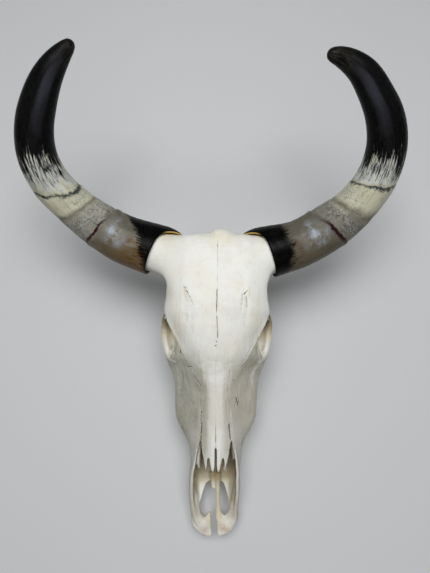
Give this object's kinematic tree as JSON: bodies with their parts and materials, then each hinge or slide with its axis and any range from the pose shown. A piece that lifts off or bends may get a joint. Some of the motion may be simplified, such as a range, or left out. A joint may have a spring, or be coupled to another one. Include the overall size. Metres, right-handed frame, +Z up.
{
  "type": "cow skull",
  "caption": "Dry cow skull without its lower jaw, with long upswept horn sheaths on its horn cores, lying face up as a still display piece.",
  "frame": {"origin": "on the floor under the middle of the whole skull with its horns", "axes": "+X across the skull towards its right horn in the picture, +Y from the muzzle to the poll and the horn tips, +Z up from the floor"},
  "size_m": [0.5929, 0.7126, 0.3332],
  "materials": {
    "frontal_left": "dry bleached bone, matte",
    "frontal_right": "dry bleached bone, matte",
    "horn_sheath_left": "polished horn, black at base and tip and cream between",
    "horn_sheath_right": "polished horn, black at base and tip and cream between",
    "lacrimal_left": "dry bleached bone, matte",
    "lacrimal_right": "dry bleached bone, matte",
    "maxilla_left": "dry bleached bone, matte, with worn tooth enamel on the cheek teeth",
    "maxilla_right": "dry bleached bone, matte, with worn tooth enamel on the cheek teeth",
    "nasal_left": "dry bleached bone, matte",
    "nasal_right": "dry bleached bone, matte",
    "occipital": "dry bleached bone, matte",
    "premaxilla_left": "dry bleached bone, matte",
    "premaxilla_right": "dry bleached bone, matte",
    "sphenoid": "dry bleached bone, matte",
    "temporal_left": "dry bleached bone, matte",
    "temporal_right": "dry bleached bone, matte",
    "zygomatic_left": "dry bleached bone, matte",
    "zygomatic_right": "dry bleached bone, matte"
  },
  "bodies": {
    "root": {"frontal_left": "frontal_left", "frontal_right": "frontal_right", "horn_sheath_left": "horn_sheath_left", "horn_sheath_right": "horn_sheath_right", "lacrimal_left": "lacrimal_left", "lacrimal_right": "lacrimal_right", "maxilla_left": "maxilla_left", "maxilla_right": "maxilla_right", "nasal_left": "nasal_left", "nasal_right": "nasal_right", "occipital": "occipital", "premaxilla_left": "premaxilla_left", "premaxilla_right": "premaxilla_right", "sphenoid": "sphenoid", "temporal_left": "temporal_left", "temporal_right": "temporal_right", "zygomatic_left": "zygomatic_left", "zygomatic_right": "zygomatic_right"}
  },
  "joints": []
}
